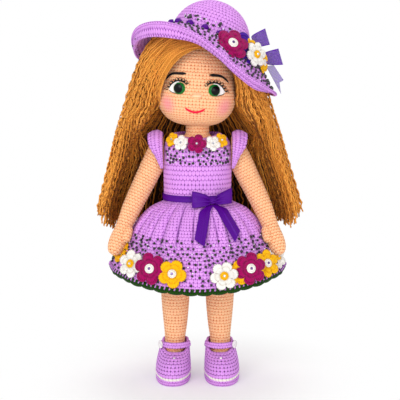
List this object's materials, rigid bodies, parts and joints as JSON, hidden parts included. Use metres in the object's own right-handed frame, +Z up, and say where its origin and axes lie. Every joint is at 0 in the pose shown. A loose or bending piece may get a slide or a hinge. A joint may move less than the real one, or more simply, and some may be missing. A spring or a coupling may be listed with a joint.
{
  "type": "crocheted doll",
  "caption": "Standing crocheted doll with long yarn hair, a gathered lilac dress with a sash, flower trim, a tilted wide-brimmed sun hat and strap shoes.",
  "frame": {"origin": "centre of the bounding box at the height of the shoe soles", "axes": "+Z up, the doll faces -Y, its own left side is +X"},
  "size_m": [0.215, 0.1619, 0.3995],
  "materials": {
    "skin_yarn": "single crochet in peach yarn",
    "lilac_yarn": "crochet in lilac yarn",
    "plum_yarn": "crochet in plum yarn",
    "white_yarn": "crochet in off-white yarn",
    "yellow_yarn": "crochet in golden yellow yarn",
    "violet_ribbon": "satin ribbon, deep violet",
    "organza_ribbon": "organza ribbon, violet",
    "green_yarn": "picot edging in dark green yarn",
    "hair_yarn": "loose caramel yarn",
    "eye_plastic": "glossy, green iris and black pupil",
    "washer_plastic": "moulded, white",
    "pearl": "pearl",
    "dowel_wood": "plain",
    "insole_board": "thin flexible board",
    "thread": "strong sewing thread"
  },
  "bodies": {
    "torso": {"dress_bodice": "lilac_yarn", "dress_skirt": "lilac_yarn", "hem_edging": "green_yarn", "hem_flower_plum_left": "plum_yarn", "hem_flower_plum_right": "plum_yarn", "hem_flower_white_left": "white_yarn", "hem_flower_white_outer_left": "white_yarn", "hem_flower_white_right": "white_yarn", "hem_flower_yellow_inner_left": "yellow_yarn", "hem_flower_yellow_left": "yellow_yarn", "hem_flower_yellow_outer_right": "yellow_yarn", "hem_flower_yellow_right": "yellow_yarn", "insole_left": "insole_board", "insole_right": "insole_board", "leg_left": "skin_yarn", "leg_right": "skin_yarn", "neck_dowel": "dowel_wood", "neck_flower_plum_centre": "plum_yarn", "neck_flower_white_left": "white_yarn", "neck_flower_white_right": "white_yarn", "neck_flower_yellow_left": "yellow_yarn", "neck_flower_yellow_right": "yellow_yarn", "sash": "violet_ribbon", "shoe_button_left": "pearl", "shoe_button_right": "pearl", "shoe_sole_left": "lilac_yarn", "shoe_sole_right": "lilac_yarn", "shoe_strap_left": "lilac_yarn", "shoe_strap_right": "lilac_yarn", "shoe_upper_left": "lilac_yarn", "shoe_upper_right": "lilac_yarn", "shoulder_thread": "thread", "sleeve_left": "lilac_yarn", "sleeve_right": "lilac_yarn", "torso": "skin_yarn", "waist_bow_knot": "violet_ribbon", "waist_bow_loop_left": "violet_ribbon", "waist_bow_loop_right": "violet_ribbon", "waist_bow_tail_left": "violet_ribbon", "waist_bow_tail_right": "violet_ribbon"},
    "head": {"eye_left": "eye_plastic", "eye_right": "eye_plastic", "eye_washer_left": "washer_plastic", "eye_washer_right": "washer_plastic", "hair_back": "hair_yarn", "hair_crown": "hair_yarn", "hair_left": "hair_yarn", "hair_right": "hair_yarn", "head": "skin_yarn"},
    "hat": {"hat": "lilac_yarn", "hat_band": "violet_ribbon", "hat_bow": "organza_ribbon", "hat_bow_tail": "organza_ribbon", "hat_flower_plum": "plum_yarn", "hat_flower_violet": "violet_ribbon", "hat_flower_white": "white_yarn", "hat_flower_yellow_inner": "yellow_yarn", "hat_flower_yellow_outer": "yellow_yarn"},
    "arm_right": {"arm_right": "skin_yarn"},
    "arm_left": {"arm_left": "skin_yarn"}
  },
  "joints": [
    {"name": "head_turn", "type": "hinge", "parent": "torso", "child": "head", "pos_m": [0, 0, 0.268], "axis": [0, 0, 1], "range_deg": [-15, 15], "stiffness_Nm_per_rad": 0.15, "deforming": ["hair_back", "hair_left", "hair_right"]},
    {"name": "hat_lift", "type": "slide", "parent": "head", "child": "hat", "axis": [0.3657, 0.2164, 0.9052], "range_m": [0, 0.12]},
    {"name": "arm_right_swing", "type": "hinge", "parent": "torso", "child": "arm_right", "pos_m": [-0.038, 0.0045, 0.247], "axis": [-1, 0, 0], "range_deg": [0, 90], "deforming": ["sleeve_right"]},
    {"name": "arm_left_swing", "type": "hinge", "parent": "torso", "child": "arm_left", "pos_m": [0.038, 0.0045, 0.247], "axis": [-1, 0, 0], "range_deg": [0, 90], "deforming": ["sleeve_left"]}
  ]
}
